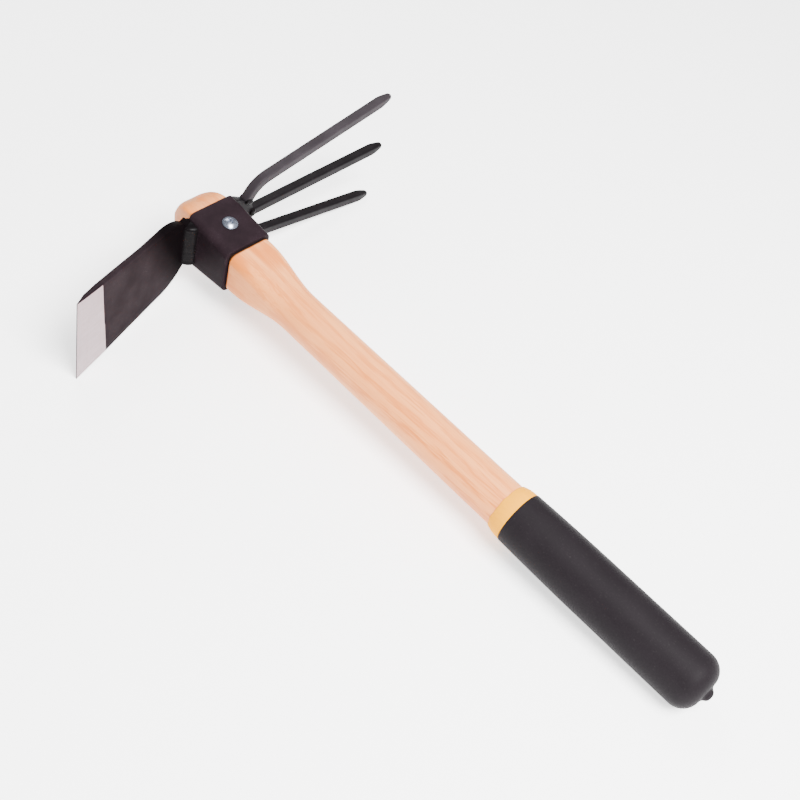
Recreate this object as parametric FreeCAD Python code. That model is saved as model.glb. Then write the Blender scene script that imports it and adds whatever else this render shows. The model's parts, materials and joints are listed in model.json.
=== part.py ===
import FreeCAD, Part
import math
import os

from FreeCAD import Vector

# Hand cultivator: a hoe blade and three tines welded to a tapered steel socket on a wooden handle.
# All lengths are millimetres and all angles are degrees.
# The pieces are modelled in the tool's own frame: the origin is the middle of the socket, +Y runs
# along the handle towards its head end, +X points along the tines and +Z comes out of the face with
# the screw. The last step lays the whole tool down on a flat surface.

# Socket: a strip bent into a box, deeper at the head end so that the handle cannot pull through
SOCKET_LENGTH = 33.0
SOCKET_WIDTH = 32.0
SOCKET_DEPTH_HEAD = 38.0
SOCKET_DEPTH_GRIP = 30.8
SOCKET_WALL = 2.8
SOCKET_CORNER = 4.2
SEAM_WELD_WIDTH = 4.0
SEAM_WELD_RISE = 0.9

# Handle: one turned piece, squared where it fills the socket
HANDLE_CLEARANCE = 0.05
STUB_STRAIGHT = 1.0
STUB_DOME_LENGTH = 18.8
STUB_DOME_INSET_X = 5.2
STUB_DOME_INSET_Z = 14.6
STUB_DOME_STEPS = 7
STUB_LAST_ANGLE = 84.0
STUB_CORNER_GAIN = 0.64
SHOULDER_LENGTH = 4.0
SHOULDER_WIDTH = 29.4
SHOULDER_DEPTH = 28.0
SHOULDER_CORNER = 5.5
FLARE_LENGTH = 42.0
FLARE_SHARES = (0.12, 0.35, 0.6, 0.82, 1.0)
SECTION_FLAT = 0.1
WAIST_RADIUS = 12.4
SHAFT_RADIUS = 13.0
SHAFT_END_Y = -351.0

# Grip: a rubber sleeve with a coloured collar at its mouth
COLLAR_MOUTH_Y = -221.0
GRIP_MOUTH_Y = -229.6
GRIP_CYLINDER_Y = -285.0
GRIP_CORNER_Y = -344.0
GRIP_END_Y = -354.2
GRIP_MOUTH_RADIUS = 15.2
GRIP_RADIUS = 15.9
GRIP_CLEARANCE = 0.05
GRIP_MOUTH_ROUND = 0.6
GRIP_BULGE = 0.2
GRIP_END_RISE = 1.2
COLLAR_THIN = 0.5
COLLAR_THICK = 1.9
COLLAR_BULGE = 0.4
NUB_RADIUS = 2.6
NUB_LENGTH = 1.8
NUB_ROUND = 1.3

# Hoe blade: a plate that leans towards the grip, with its cutting edge parallel to Z
BLADE_THICKNESS = 3.6
BLADE_ROOT_THICKNESS = 5.5
BLADE_ROOT_TAPER = 42.0
BLADE_LEAN = 15.5
BLADE_ROOT_Y = 14.2
BLADE_LENGTH = 98.0
BLADE_EDGE_WIDTH = 60.0
BLADE_FLANK_WIDTH = 55.2
BLADE_FLANK_AT = 66.6
BLADE_SHOULDER_WIDTH = 50.0
BLADE_SHOULDER_AT = 27.5
BLADE_CURVE_WIDTH = 43.0
BLADE_CURVE_AT = 12.4
BLADE_NECK_WIDTH = 31.0
BLADE_NECK_LENGTH = 4.0
EDGE_THICKNESS = 0.5
FRONT_GRIND_LENGTH = 22.0
FRONT_GRIND_DEPTH = 0.5
BACK_GRIND_LENGTH = 20.0
BACK_GRIND_THICKNESS = 2.9
EDGE_BEVEL_LENGTH = 8.0

# Tines: square bar with drawn-out points, butt-welded to the edge of a flat root plate
TINE_BAR = 5.6
TINE_Y = 14.7
MIDDLE_TIP_X = 139.4
OUTER_TIP_X = 136.7
OUTER_TIP_Z = 40.4
OUTER_BEND_X = 31.8
OUTER_BEND_Z = 20.6
OUTER_FOOT_X = 25.6
OUTER_FOOT_Z = 10.7
OUTER_BEND_RADIUS = 18.0
TINE_POINT_LENGTH = 10.0
TINE_POINT_SIZE = 3.2
POINT_BELLY = 0.6
ROOT_PLATE_THICKNESS = 4.4
ROOT_PLATE_WIDTH = 33.0
ROOT_PLATE_REACH = 13.8
ROOT_PLATE_FRONT = 8.0

# Weld beads; the crown is a share of the two legs, and half would be a flat bead
BEAD_CROWN = 0.58
BLADE_WELD_LEG = 6.4
BLADE_BACK_WELD_LEG = 2.2
PLATE_WELD_LEG = 3.4
BUTT_WELD_WIDTH = 3.6
BUTT_WELD_RISE = 0.9

# Screw through the socket's front wall into the handle
SCREW_HEAD_RADIUS = 4.5
SCREW_HEAD_HEIGHT = 2.6
SCREW_HEAD_EDGE = 0.7
SCREW_RADIUS = 2.2
SCREW_CORE_RADIUS = 1.5
SCREW_LENGTH = 20.0
SCREW_POINT_LENGTH = 4.0
SCREW_NECK_LENGTH = 4.0
SCREW_PITCH = 2.0
THREAD_FLANK = 0.3
SCREW_HOLE_RADIUS = 2.5
RECESS_WIDTH = 1.1
RECESS_SPAN = 4.8
RECESS_DEPTH = 1.5

HALF_LENGTH = SOCKET_LENGTH / 2
HALF_WIDTH = SOCKET_WIDTH / 2
RESTING_STEPS = 12
RESTING_TOLERANCE = 0.05
X_AXIS = Vector(1, 0, 0)
Y_AXIS = Vector(0, 1, 0)
Z_AXIS = Vector(0, 0, 1)


def quarter_arc(start, corner, end):
    """Quarter circle that rounds off the square corner between two points."""
    middle = corner + ((start + end) / 2 - corner) * (2 - math.sqrt(2))
    return Part.Arc(start, middle, end).toShape()


def line(start, end):
    return Part.LineSegment(start, end).toShape()


def rounded_section(width, depth, corner, y):
    """Closed wire across the handle's axis: a rectangle with rounded corners."""
    corners = []
    for side_x, side_z in ((1, 1), (-1, 1), (-1, -1), (1, -1)):
        square = Vector(side_x * width / 2, y, side_z * depth / 2)
        on_x = square - Z_AXIS * (side_z * corner)
        on_z = square - X_AXIS * (side_x * corner)
        start, end = (on_x, on_z) if side_x == side_z else (on_z, on_x)
        corners.append((start, square, end))
    edges = []
    for here, after in zip(corners, corners[1:] + corners[:1]):
        edges.append(quarter_arc(*here))
        edges.append(line(here[2], after[0]))
    return Part.Wire(edges)


def socket_depth(y):
    """Outer depth of the socket at a place along the handle."""
    share = (y + HALF_LENGTH) / SOCKET_LENGTH
    return SOCKET_DEPTH_GRIP + share * (SOCKET_DEPTH_HEAD - SOCKET_DEPTH_GRIP)


def socket_section(y, inset):
    """The socket's outline at y, moved inwards by inset."""
    width = SOCKET_WIDTH - 2 * inset
    depth = socket_depth(y) - 2 * inset
    return rounded_section(width, depth, SOCKET_CORNER - inset, y)


def front_face_placement():
    """Placement whose Z axis stands on the socket's sloping front face, above its middle."""
    slope = math.degrees(math.atan2(SOCKET_DEPTH_HEAD - SOCKET_DEPTH_GRIP, 2 * SOCKET_LENGTH))
    return FreeCAD.Placement(Vector(0, 0, socket_depth(0) / 2), FreeCAD.Rotation(X_AXIS, slope))


def make_socket():
    ends = (-HALF_LENGTH, HALF_LENGTH)
    outer = Part.makeLoft([socket_section(y, 0) for y in ends], True, True)
    inner = Part.makeLoft([socket_section(y, SOCKET_WALL) for y in ends], True, True)
    hole = Part.makeCylinder(SCREW_HOLE_RADIUS, 4 * SOCKET_WALL, Vector(0, 0, -2 * SOCKET_WALL))
    hole.Placement = front_face_placement().multiply(hole.Placement)
    return outer.cut(inner).cut(hole)


def make_seam_weld():
    """Low bead down the middle of the back wall, where the strip's two ends meet."""
    half = SEAM_WELD_WIDTH / 2
    wires = []
    for y in (-HALF_LENGTH, HALF_LENGTH):
        back = -socket_depth(y) / 2
        left = Vector(-half, y, back)
        right = Vector(half, y, back)
        crown = Part.Arc(left, Vector(0, y, back - SEAM_WELD_RISE), right)
        wires.append(Part.Wire([crown.toShape(), line(right, left)]))
    return Part.makeLoft(wires, True, True)


def revolve_about_handle(profile):
    """Solid of revolution about the handle's axis from a closed list of edges in the XY plane."""
    face = Part.Face(Part.Wire(profile))
    return face.revolve(Vector(0, 0, 0), Y_AXIS, 360)


def polygon_edges(points):
    return [line(a, b) for a, b in zip(points, points[1:] + points[:1])]


def make_screw_hole():
    """Pilot hole in the handle, as wide as the screw's thread."""
    hole = Part.makeCylinder(SCREW_RADIUS, SCREW_LENGTH, Vector(0, 0, -SCREW_LENGTH))
    hole.Placement = front_face_placement().multiply(hole.Placement)
    return hole


def stub_sections(gap):
    """Sections of the handle's rounded end, from the straight part out to its small flat tip."""
    start_y = HALF_LENGTH + STUB_STRAIGHT
    sections = []
    for step in range(STUB_DOME_STEPS + 1):
        angle = math.radians(STUB_LAST_ANGLE * step / STUB_DOME_STEPS)
        fall = 1 - math.cos(angle)
        width = SOCKET_WIDTH - 2 * gap - 2 * STUB_DOME_INSET_X * fall
        depth = socket_depth(start_y) - 2 * gap - 2 * STUB_DOME_INSET_Z * fall
        corner = SOCKET_CORNER - gap + STUB_CORNER_GAIN * STUB_DOME_INSET_Z * fall
        corner = min(corner, (width - SECTION_FLAT) / 2, (depth - SECTION_FLAT) / 2)
        sections.append(rounded_section(width, depth, corner, start_y + STUB_DOME_LENGTH * math.sin(angle)))
    return sections


def flare_sections(gap, top):
    """Sections from the mouth of the socket, over the shoulder and down to the round waist."""
    sections = [
        socket_section(top, gap),
        rounded_section(SHOULDER_WIDTH, SHOULDER_DEPTH, SHOULDER_CORNER, top - SHOULDER_LENGTH / 2),
    ]
    waist = 2 * WAIST_RADIUS
    for share in FLARE_SHARES:
        ease = (1 - math.cos(math.pi * share)) / 2
        width = SHOULDER_WIDTH + ease * (waist - SHOULDER_WIDTH)
        depth = SHOULDER_DEPTH + ease * (waist - SHOULDER_DEPTH)
        corner = SHOULDER_CORNER + ease * ((waist - SECTION_FLAT) / 2 - SHOULDER_CORNER)
        sections.append(rounded_section(width, depth, corner, top - SHOULDER_LENGTH - share * FLARE_LENGTH))
    return sections


def make_handle():
    gap = SOCKET_WALL + HANDLE_CLEARANCE
    top = -HALF_LENGTH - HANDLE_CLEARANCE
    waist_y = top - SHOULDER_LENGTH - FLARE_LENGTH
    ends = (top, HALF_LENGTH + STUB_STRAIGHT)
    tenon = Part.makeLoft([socket_section(y, gap) for y in ends], True, True)
    dome = Part.makeLoft(stub_sections(gap), True, False)
    flare = Part.makeLoft(flare_sections(gap, top), True, False)
    shaft = revolve_about_handle(polygon_edges([
        Vector(0, waist_y, 0),
        Vector(WAIST_RADIUS, waist_y, 0),
        Vector(SHAFT_RADIUS, COLLAR_MOUTH_Y, 0),
        Vector(SHAFT_RADIUS, SHAFT_END_Y, 0),
        Vector(0, SHAFT_END_Y, 0),
    ]))
    return tenon.fuse([dome, flare, shaft]).cut(make_screw_hole())


def make_grip():
    """Rubber sleeve: a slightly swelling tube, a closed rounded end and a small moulded nub."""
    inner = SHAFT_RADIUS + GRIP_CLEARANCE
    bore_end = SHAFT_END_Y - GRIP_CLEARANCE
    corner = GRIP_CORNER_Y - GRIP_END_Y
    nub_foot = GRIP_END_Y - GRIP_END_RISE
    nub_top = nub_foot - NUB_LENGTH
    mouth_in = Vector(GRIP_MOUTH_RADIUS - GRIP_MOUTH_ROUND, GRIP_MOUTH_Y, 0)
    mouth_out = Vector(GRIP_MOUTH_RADIUS, GRIP_MOUTH_Y - GRIP_MOUTH_ROUND, 0)
    swell_end = Vector(GRIP_RADIUS, GRIP_CYLINDER_Y, 0)
    swell = (mouth_out + swell_end) / 2 + X_AXIS * GRIP_BULGE
    straight_end = Vector(GRIP_RADIUS, GRIP_CORNER_Y, 0)
    corner_end = Vector(GRIP_RADIUS - corner, GRIP_END_Y, 0)
    nub_side = Vector(NUB_RADIUS, nub_top + NUB_ROUND, 0)
    nub_flat = Vector(NUB_RADIUS - NUB_ROUND, nub_top, 0)
    return revolve_about_handle([
        line(Vector(inner, GRIP_MOUTH_Y, 0), mouth_in),
        quarter_arc(mouth_in, Vector(GRIP_MOUTH_RADIUS, GRIP_MOUTH_Y, 0), mouth_out),
        Part.Arc(mouth_out, swell, swell_end).toShape(),
        line(swell_end, straight_end),
        quarter_arc(straight_end, Vector(GRIP_RADIUS, GRIP_END_Y, 0), corner_end),
        line(corner_end, Vector(NUB_RADIUS, nub_foot, 0)),
        line(Vector(NUB_RADIUS, nub_foot, 0), nub_side),
        quarter_arc(nub_side, Vector(NUB_RADIUS, nub_top, 0), nub_flat),
        line(nub_flat, Vector(0, nub_top, 0)),
        line(Vector(0, nub_top, 0), Vector(0, bore_end, 0)),
        line(Vector(0, bore_end, 0), Vector(inner, bore_end, 0)),
        line(Vector(inner, bore_end, 0), Vector(inner, GRIP_MOUTH_Y, 0)),
    ])


def make_collar():
    """Coloured lip that tapers from the grip's mouth down to the wood."""
    inner = SHAFT_RADIUS + GRIP_CLEARANCE
    thin = Vector(inner + COLLAR_THIN, COLLAR_MOUTH_Y, 0)
    thick = Vector(inner + COLLAR_THICK, GRIP_MOUTH_Y, 0)
    middle = (thin + thick) / 2 + X_AXIS * COLLAR_BULGE
    return revolve_about_handle([
        line(Vector(inner, COLLAR_MOUTH_Y, 0), thin),
        Part.Arc(thin, middle, thick).toShape(),
        line(thick, Vector(inner, GRIP_MOUTH_Y, 0)),
        line(Vector(inner, GRIP_MOUTH_Y, 0), Vector(inner, COLLAR_MOUTH_Y, 0)),
    ])


def blade_placement():
    """Blade frame: X runs from the socket's left face to the cutting edge, Y out of the back face."""
    turn = FreeCAD.Rotation(Z_AXIS, 180 + BLADE_LEAN)
    flip = FreeCAD.Rotation(X_AXIS, 180)
    return FreeCAD.Placement(Vector(-HALF_WIDTH, BLADE_ROOT_Y, 0), turn.multiply(flip))


def blade_side_edges(side):
    """Edges of the blade's outline on one side of its middle, from the root to the cutting edge."""
    stations = [
        (-BLADE_ROOT_THICKNESS, BLADE_NECK_WIDTH),
        (BLADE_NECK_LENGTH, BLADE_NECK_WIDTH),
        (BLADE_CURVE_AT, BLADE_CURVE_WIDTH),
        (BLADE_SHOULDER_AT, BLADE_SHOULDER_WIDTH),
        (BLADE_FLANK_AT, BLADE_FLANK_WIDTH),
        (BLADE_LENGTH, BLADE_EDGE_WIDTH),
    ]
    root, neck, curve, shoulder, flank, corner = [Vector(x, 0, side * width / 2) for x, width in stations]
    return [
        line(root, neck),
        Part.Arc(neck, curve, shoulder).toShape(),
        Part.Arc(shoulder, flank, corner).toShape(),
    ]


def make_blade():
    """Plate thickened at its root and ground on both faces, cut off flush with the socket's side."""
    profile = [
        Vector(-BLADE_ROOT_THICKNESS, 0, 0),
        Vector(BLADE_LENGTH - FRONT_GRIND_LENGTH, 0, 0),
        Vector(BLADE_LENGTH, FRONT_GRIND_DEPTH, 0),
        Vector(BLADE_LENGTH, FRONT_GRIND_DEPTH + EDGE_THICKNESS, 0),
        Vector(BLADE_LENGTH - EDGE_BEVEL_LENGTH, BACK_GRIND_THICKNESS, 0),
        Vector(BLADE_LENGTH - BACK_GRIND_LENGTH, BLADE_THICKNESS, 0),
        Vector(BLADE_ROOT_TAPER, BLADE_THICKNESS, 0),
        Vector(-BLADE_ROOT_THICKNESS, BLADE_ROOT_THICKNESS, 0),
    ]
    slab = Part.Face(Part.Wire(polygon_edges(profile))).extrude(Z_AXIS * BLADE_EDGE_WIDTH)
    slab.translate(Z_AXIS * (-BLADE_EDGE_WIDTH / 2))

    front = blade_side_edges(1)
    back = blade_side_edges(-1)
    root = line(front[0].Vertexes[0].Point, back[0].Vertexes[0].Point)
    tip = line(front[-1].Vertexes[-1].Point, back[-1].Vertexes[-1].Point)
    outline = Part.Wire(Part.__sortEdges__(front + back + [root, tip]))
    plate = Part.Face(outline).extrude(Y_AXIS * (2 * BLADE_ROOT_THICKNESS))
    plate.translate(Y_AXIS * (-BLADE_ROOT_THICKNESS / 2))

    blade = slab.common(plate)
    blade.Placement = blade_placement()
    size = 2 * BLADE_LENGTH
    outside = Part.makeBox(size, size, size, Vector(-HALF_WIDTH - size, -size / 2, -size / 2))
    return blade.common(outside)


def make_fillet_bead(corner, leg_a, leg_b, start, end):
    """Convex weld bead along Z in the corner of two faces; leg_a and leg_b run along the faces."""
    foot = corner + Z_AXIS * start
    crown = foot + (leg_a + leg_b) * BEAD_CROWN
    edges = [
        line(foot, foot + leg_a),
        Part.Arc(foot + leg_a, crown, foot + leg_b).toShape(),
        line(foot + leg_b, foot),
    ]
    return Part.Face(Part.Wire(edges)).extrude(Z_AXIS * (end - start))


def blade_direction():
    lean = math.radians(BLADE_LEAN)
    return Vector(-math.cos(lean), -math.sin(lean), 0)


def make_blade_weld_front():
    """Large fillet on the side of the blade that faces the grip."""
    corner = Vector(-HALF_WIDTH, BLADE_ROOT_Y, 0)
    along_socket = Y_AXIS * -BLADE_WELD_LEG
    along_blade = blade_direction() * BLADE_WELD_LEG
    half = BLADE_NECK_WIDTH / 2
    return make_fillet_bead(corner, along_socket, along_blade, -half, half)


def make_blade_weld_back():
    """Small bead across the socket's rim, behind the part of the blade that stands above it."""
    corner = Vector(-HALF_WIDTH, HALF_LENGTH, 0)
    along_rim = X_AXIS * BLADE_BACK_WELD_LEG
    up_blade = Y_AXIS * BLADE_BACK_WELD_LEG
    half = BLADE_NECK_WIDTH / 2
    return make_fillet_bead(corner, up_blade, along_rim, -half, half)


def bar_section(centre, along, size):
    """Square wire with the given side, centred on a bar and square to its direction."""
    half = size / 2
    side = along.cross(Y_AXIS).normalize()
    corners = []
    for a, b in ((1, 1), (-1, 1), (-1, -1), (1, -1)):
        corners.append(centre + side * (a * half) + Y_AXIS * (b * half))
    return Part.makePolygon(corners + corners[:1])


def make_bar(start, end):
    along = (end - start).normalize()
    return Part.Face(bar_section(start, along, TINE_BAR)).extrude(end - start)


def make_point(start, tip):
    """Drawn-out end of a tine, from the full bar to a small blunt square."""
    along = (tip - start).normalize()
    half_way = start + along * (TINE_POINT_LENGTH / 2)
    half_way_size = TINE_POINT_SIZE + POINT_BELLY * (TINE_BAR - TINE_POINT_SIZE)
    nose = tip - along * (TINE_POINT_SIZE / 2)
    wires = [
        bar_section(start, along, TINE_BAR),
        bar_section(half_way, along, half_way_size),
        bar_section(nose, along, TINE_POINT_SIZE),
        bar_section(tip, along, TINE_POINT_SIZE / 2),
    ]
    return Part.makeLoft(wires, True, True)


def outer_tine_points():
    foot = Vector(OUTER_FOOT_X, TINE_Y, OUTER_FOOT_Z)
    bend = Vector(OUTER_BEND_X, TINE_Y, OUTER_BEND_Z)
    tip = Vector(OUTER_TIP_X, TINE_Y, OUTER_TIP_Z)
    return foot, bend, tip


def make_upper_tine():
    """Outer tine on the screw side: out of the plate, round one bend and straight to its point."""
    foot, bend, tip = outer_tine_points()
    inward = (foot - bend).normalize()
    outward = (tip - bend).normalize()
    turn = math.pi - inward.getAngle(outward)
    tangent = OUTER_BEND_RADIUS * math.tan(turn / 2)
    arc_start = bend + inward * tangent
    arc_end = bend + outward * tangent
    to_centre = (inward + outward).normalize()
    centre = bend + to_centre * (OUTER_BEND_RADIUS / math.cos(turn / 2))
    section = Part.Face(bar_section(arc_start, inward * -1, TINE_BAR))
    elbow = section.revolve(centre, Y_AXIS, math.degrees(turn))
    point_start = tip - outward * TINE_POINT_LENGTH
    pieces = [elbow, make_bar(arc_end, point_start), make_point(point_start, tip)]
    return make_bar(foot, arc_start).fuse(pieces).removeSplitter()


def make_middle_tine():
    tip = Vector(MIDDLE_TIP_X, TINE_Y, 0)
    point_start = tip - X_AXIS * TINE_POINT_LENGTH
    foot = Vector(HALF_WIDTH + ROOT_PLATE_REACH, TINE_Y, 0)
    return make_bar(foot, point_start).fuse(make_point(point_start, tip)).removeSplitter()


def mirrored(shape):
    """Copy on the other side of the tool's middle plane."""
    return shape.mirror(Vector(0, 0, 0), Z_AXIS)


def outer_foot_corners():
    """The two corners of the outer tine's foot, on the socket side and on the middle side."""
    foot, bend, _ = outer_tine_points()
    side = (bend - foot).normalize().cross(Y_AXIS) * (TINE_BAR / 2)
    return sorted((foot + side, foot - side), key=lambda point: point.x)


def make_root_plate():
    """Flat plate on the socket's right face that carries the three tines on its edge."""
    near, far = outer_foot_corners()
    y = TINE_Y - ROOT_PLATE_THICKNESS / 2
    half = [
        Vector(HALF_WIDTH, y, ROOT_PLATE_WIDTH / 2),
        Vector(near.x, y, near.z),
        Vector(far.x, y, far.z),
        Vector(HALF_WIDTH + ROOT_PLATE_REACH, y, ROOT_PLATE_FRONT / 2),
    ]
    other = [Vector(point.x, y, -point.z) for point in reversed(half)]
    face = Part.Face(Part.Wire(polygon_edges(half + other)))
    return face.extrude(Vector(0, ROOT_PLATE_THICKNESS, 0))


def make_plate_weld():
    """Fillet under the root plate, on the side towards the grip."""
    corner = Vector(HALF_WIDTH, TINE_Y - ROOT_PLATE_THICKNESS / 2, 0)
    along_socket = Y_AXIS * -PLATE_WELD_LEG
    along_plate = X_AXIS * PLATE_WELD_LEG
    half = ROOT_PLATE_WIDTH / 2 - PLATE_WELD_LEG
    return make_fillet_bead(corner, along_socket, along_plate, -half, half)


def make_butt_weld(foot, along):
    """Pair of low beads across a tine's foot, on its two wide sides."""
    side = along.cross(Y_AXIS).normalize()
    beads = []
    for face in (1, -1):
        base = foot + Y_AXIS * (face * TINE_BAR / 2) - side * (TINE_BAR / 2)
        start = base - along * (BUTT_WELD_WIDTH / 2)
        end = base + along * (BUTT_WELD_WIDTH / 2)
        crown = base + Y_AXIS * (face * BUTT_WELD_RISE)
        outline = Part.Wire([Part.Arc(start, crown, end).toShape(), line(end, start)])
        beads.append(Part.Face(outline).extrude(side * TINE_BAR))
    return Part.makeCompound(beads)


def make_butt_welds():
    foot, bend, _ = outer_tine_points()
    upper = make_butt_weld(foot, (bend - foot).normalize())
    middle = make_butt_weld(Vector(HALF_WIDTH + ROOT_PLATE_REACH, TINE_Y, 0), X_AXIS)
    return {"tine_weld_upper": upper, "tine_weld_middle": middle, "tine_weld_lower": mirrored(upper)}


def screw_head_arc():
    """Half of the head's dome, from its top to its rim, as part of a circle centred on the axis."""
    rise = SCREW_HEAD_HEIGHT - SCREW_HEAD_EDGE
    ball = (SCREW_HEAD_RADIUS ** 2 + rise ** 2) / (2 * rise)
    half_way = SCREW_HEAD_RADIUS / 2
    middle_z = SCREW_HEAD_HEIGHT - ball + math.sqrt(ball ** 2 - half_way ** 2)
    top = Vector(0, 0, SCREW_HEAD_HEIGHT)
    rim = Vector(SCREW_HEAD_RADIUS, 0, SCREW_HEAD_EDGE)
    return Part.Arc(top, Vector(half_way, 0, middle_z), rim).toShape()


def screw_profile_points():
    """The screw's outline from the rim of its head down to its point."""
    points = [
        Vector(SCREW_HEAD_RADIUS, 0, SCREW_HEAD_EDGE),
        Vector(SCREW_HEAD_RADIUS, 0, 0),
        Vector(SCREW_RADIUS, 0, 0),
        Vector(SCREW_RADIUS, 0, -SCREW_NECK_LENGTH),
    ]
    thread_length = SCREW_LENGTH - SCREW_NECK_LENGTH - SCREW_POINT_LENGTH
    rings = int(thread_length / SCREW_PITCH)
    for ring in range(rings):
        z = -SCREW_NECK_LENGTH - ring * SCREW_PITCH
        points.append(Vector(SCREW_CORE_RADIUS, 0, z - THREAD_FLANK * SCREW_PITCH))
        points.append(Vector(SCREW_CORE_RADIUS, 0, z - (1 - THREAD_FLANK) * SCREW_PITCH))
        points.append(Vector(SCREW_RADIUS, 0, z - SCREW_PITCH))
    points.append(Vector(0, 0, -SCREW_LENGTH))
    return points


def make_screw():
    """Round-headed wood screw: a domed head with a cross recess, a neck and a ringed thread."""
    points = screw_profile_points()
    edges = [screw_head_arc()]
    edges += [line(a, b) for a, b in zip(points, points[1:])]
    edges.append(line(points[-1], Vector(0, 0, SCREW_HEAD_HEIGHT)))
    screw = Part.Face(Part.Wire(edges)).revolve(Vector(0, 0, 0), Z_AXIS, 360)
    for span_x, span_y in ((RECESS_SPAN, RECESS_WIDTH), (RECESS_WIDTH, RECESS_SPAN)):
        corner = Vector(-span_x / 2, -span_y / 2, SCREW_HEAD_HEIGHT - RECESS_DEPTH)
        screw = screw.cut(Part.makeBox(span_x, span_y, 2 * RECESS_DEPTH, corner))
    screw.Placement = front_face_placement()
    return screw


def lowest_point(shape, up):
    """The point of a shape that comes first to a flat surface square to up."""
    points, _ = shape.tessellate(RESTING_TOLERANCE)
    return min(points, key=lambda point: point.dot(up))


def resting_placement(nodes):
    """Placement that lays the tool down on the blade's corner, the lower tine and the grip."""
    supports = [nodes[name] for name in ("hoe_blade", "tine_lower", "grip_sleeve")]
    up = Z_AXIS
    for _ in range(RESTING_STEPS):
        blade, tine, grip = [lowest_point(shape, up) for shape in supports]
        up = (grip - blade).cross(tine - blade).normalize()
        if up.z < 0:
            up = up * -1
    turn = FreeCAD.Placement(Vector(0, 0, 0), FreeCAD.Rotation(up, Z_AXIS))
    box = FreeCAD.BoundBox()
    for shape in nodes.values():
        turned = shape.copy()
        turned.Placement = turn.multiply(turned.Placement)
        box.add(turned.optimalBoundingBox(True, False))
    centre = box.Center
    return FreeCAD.Placement(Vector(-centre.x, -centre.y, -box.ZMin), turn.Rotation)


def build_nodes():
    """Every piece of the tool in the tool's own frame."""
    upper_tine = make_upper_tine()
    nodes = {
        "handle": make_handle(),
        "head_socket": make_socket(),
        "socket_seam_weld": make_seam_weld(),
        "hoe_blade": make_blade(),
        "blade_weld_front": make_blade_weld_front(),
        "blade_weld_back": make_blade_weld_back(),
        "tine_root_plate": make_root_plate(),
        "plate_weld": make_plate_weld(),
        "tine_upper": upper_tine,
        "tine_middle": make_middle_tine(),
        "tine_lower": mirrored(upper_tine),
        "fixing_screw": make_screw(),
        "grip_collar": make_collar(),
        "grip_sleeve": make_grip(),
    }
    nodes.update(make_butt_welds())
    return nodes


def main():
    nodes = build_nodes()
    placement = resting_placement(nodes)
    os.makedirs("parts", exist_ok=True)
    for name, shape in nodes.items():
        shape.Placement = placement.multiply(shape.Placement)
        shape.exportStep(f"parts/{name}.step")
    return placement


main()
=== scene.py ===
import json
import math

import bmesh
import bpy
from mathutils import Matrix, Vector, noise


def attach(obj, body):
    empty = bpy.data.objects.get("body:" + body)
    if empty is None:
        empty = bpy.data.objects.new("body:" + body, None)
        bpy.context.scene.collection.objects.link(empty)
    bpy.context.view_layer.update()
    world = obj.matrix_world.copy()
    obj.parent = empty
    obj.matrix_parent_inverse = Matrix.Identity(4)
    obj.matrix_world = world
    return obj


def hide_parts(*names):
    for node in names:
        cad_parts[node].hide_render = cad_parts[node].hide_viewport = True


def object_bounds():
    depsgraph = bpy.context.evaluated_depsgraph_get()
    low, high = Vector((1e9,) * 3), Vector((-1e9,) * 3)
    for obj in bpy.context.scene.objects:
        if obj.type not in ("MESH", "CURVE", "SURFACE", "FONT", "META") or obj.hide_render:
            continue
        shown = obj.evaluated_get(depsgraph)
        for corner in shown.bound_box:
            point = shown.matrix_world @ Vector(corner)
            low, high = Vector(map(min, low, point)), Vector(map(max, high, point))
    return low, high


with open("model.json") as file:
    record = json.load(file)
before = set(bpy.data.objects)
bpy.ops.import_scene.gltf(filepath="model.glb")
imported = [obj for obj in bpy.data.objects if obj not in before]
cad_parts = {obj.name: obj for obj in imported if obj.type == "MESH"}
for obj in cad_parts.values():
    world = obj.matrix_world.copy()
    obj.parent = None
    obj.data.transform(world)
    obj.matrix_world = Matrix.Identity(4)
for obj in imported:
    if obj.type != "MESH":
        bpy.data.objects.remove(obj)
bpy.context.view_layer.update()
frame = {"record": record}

# The tool's own frame, as in the CAD: millimetres, origin in the middle of the socket, +Y along the
# handle towards the head, +X towards the tines, +Z out of the screw face. The record's grip mount
# gives the handle's axis and a point on it, and the tool was only tilted, never turned, to lie down.
MM = 0.001
GRIP_MIDDLE_Y = -314.5
mount = next(m for m in frame["record"]["mounts"] if m["name"] == "grip")
y_axis = -Vector(mount["axis"]).normalized()
up_y = y_axis.z
up_x = 0.0
for _ in range(8):
    up_z = math.sqrt(1.0 - up_x * up_x - up_y * up_y)
    up_x = -y_axis.x * (1.0 + up_z) / up_y
up = Vector((up_x, up_y, up_z)).normalized()
turn = up.rotation_difference(Vector((0.0, 0.0, 1.0))).to_matrix()
origin = Vector(mount["pos_m"]) - turn @ Vector((0.0, GRIP_MIDDLE_Y * MM, 0.0))
PLACE = Matrix.Translation(origin) @ turn.to_4x4()

# Socket: half its height, its width, its depth at the grip side and at the head side, its corner radius and
# its wall. GAP is the wall with the clearance to the wood.
HALF = 16.5
SOCKET_W = 32.0
SOCKET_D = (30.8, 38.0)
SOCKET_R = 4.2
WALL = 2.8
GAP = 2.85
RIM = 0.55
# Handle: the domed stub, the shoulder below the socket, the flare, the waist and shaft as radii
STUB_STRAIGHT = 1.0
STUB_DOME = 18.7
STUB_FALL_W = 10.4
STUB_FALL_D = 29.2
STUB_FALL_R = 9.3
SHOULDER_W = 29.4
SHOULDER_D = 28.0
SHOULDER_R = 5.5
LIP_R = 1.4
LIP_LENGTH = 2.6
FLARE_Y = -HALF - 4.1
FLARE_LENGTH = 42.0
WAIST = 12.4
SHAFT = 13.0
SHAFT_END_Y = -350.0
# Blade
BLADE_ROOT_Y = 14.2
BLADE_LEAN = 15.5
BLADE_L = 98.0
BLADE_THICK = 3.6
GRIND = 22.0
BACK_BEVEL = 8.0
GRIND_SLANT = 2.2 / 30.0
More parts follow.
